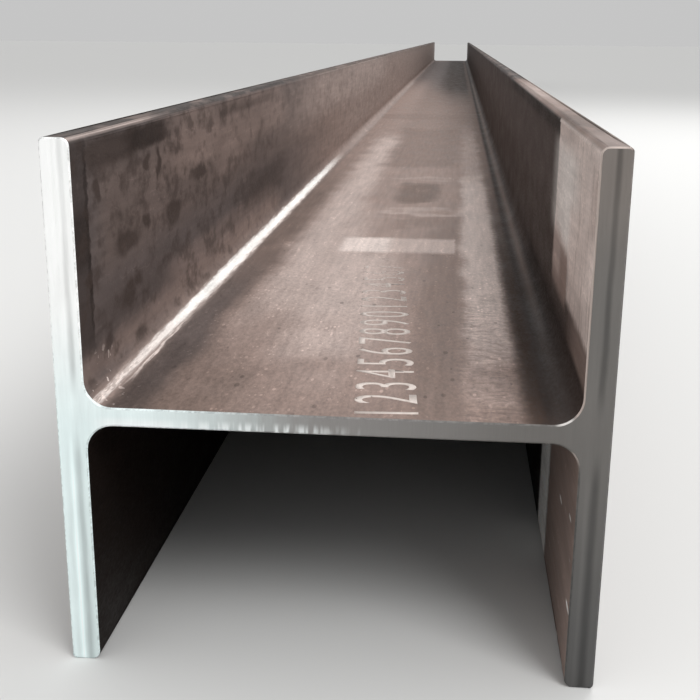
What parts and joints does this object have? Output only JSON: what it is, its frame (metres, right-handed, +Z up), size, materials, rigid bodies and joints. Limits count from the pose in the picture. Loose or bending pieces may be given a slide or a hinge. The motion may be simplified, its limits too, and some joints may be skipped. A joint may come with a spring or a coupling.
{
  "type": "steel h-beam",
  "caption": "Hot-rolled steel H-beam, a plain square-section column profile with round roots, sawn square at both ends to a stock length.",
  "frame": {"origin": "on the floor under the middle of the beam: centre of its length and of its depth, at the level of the flange toes it lies on", "axes": "+Y along the beam from the near sawn end to the far one, +X across the flanges to the right flange's outer face, +Z up, square to the web"},
  "size_m": [0.2032, 6, 0.2036],
  "materials": {
    "mill_steel": "matte"
  },
  "bodies": {
    "root": {"h_beam": "mill_steel"}
  },
  "joints": []
}
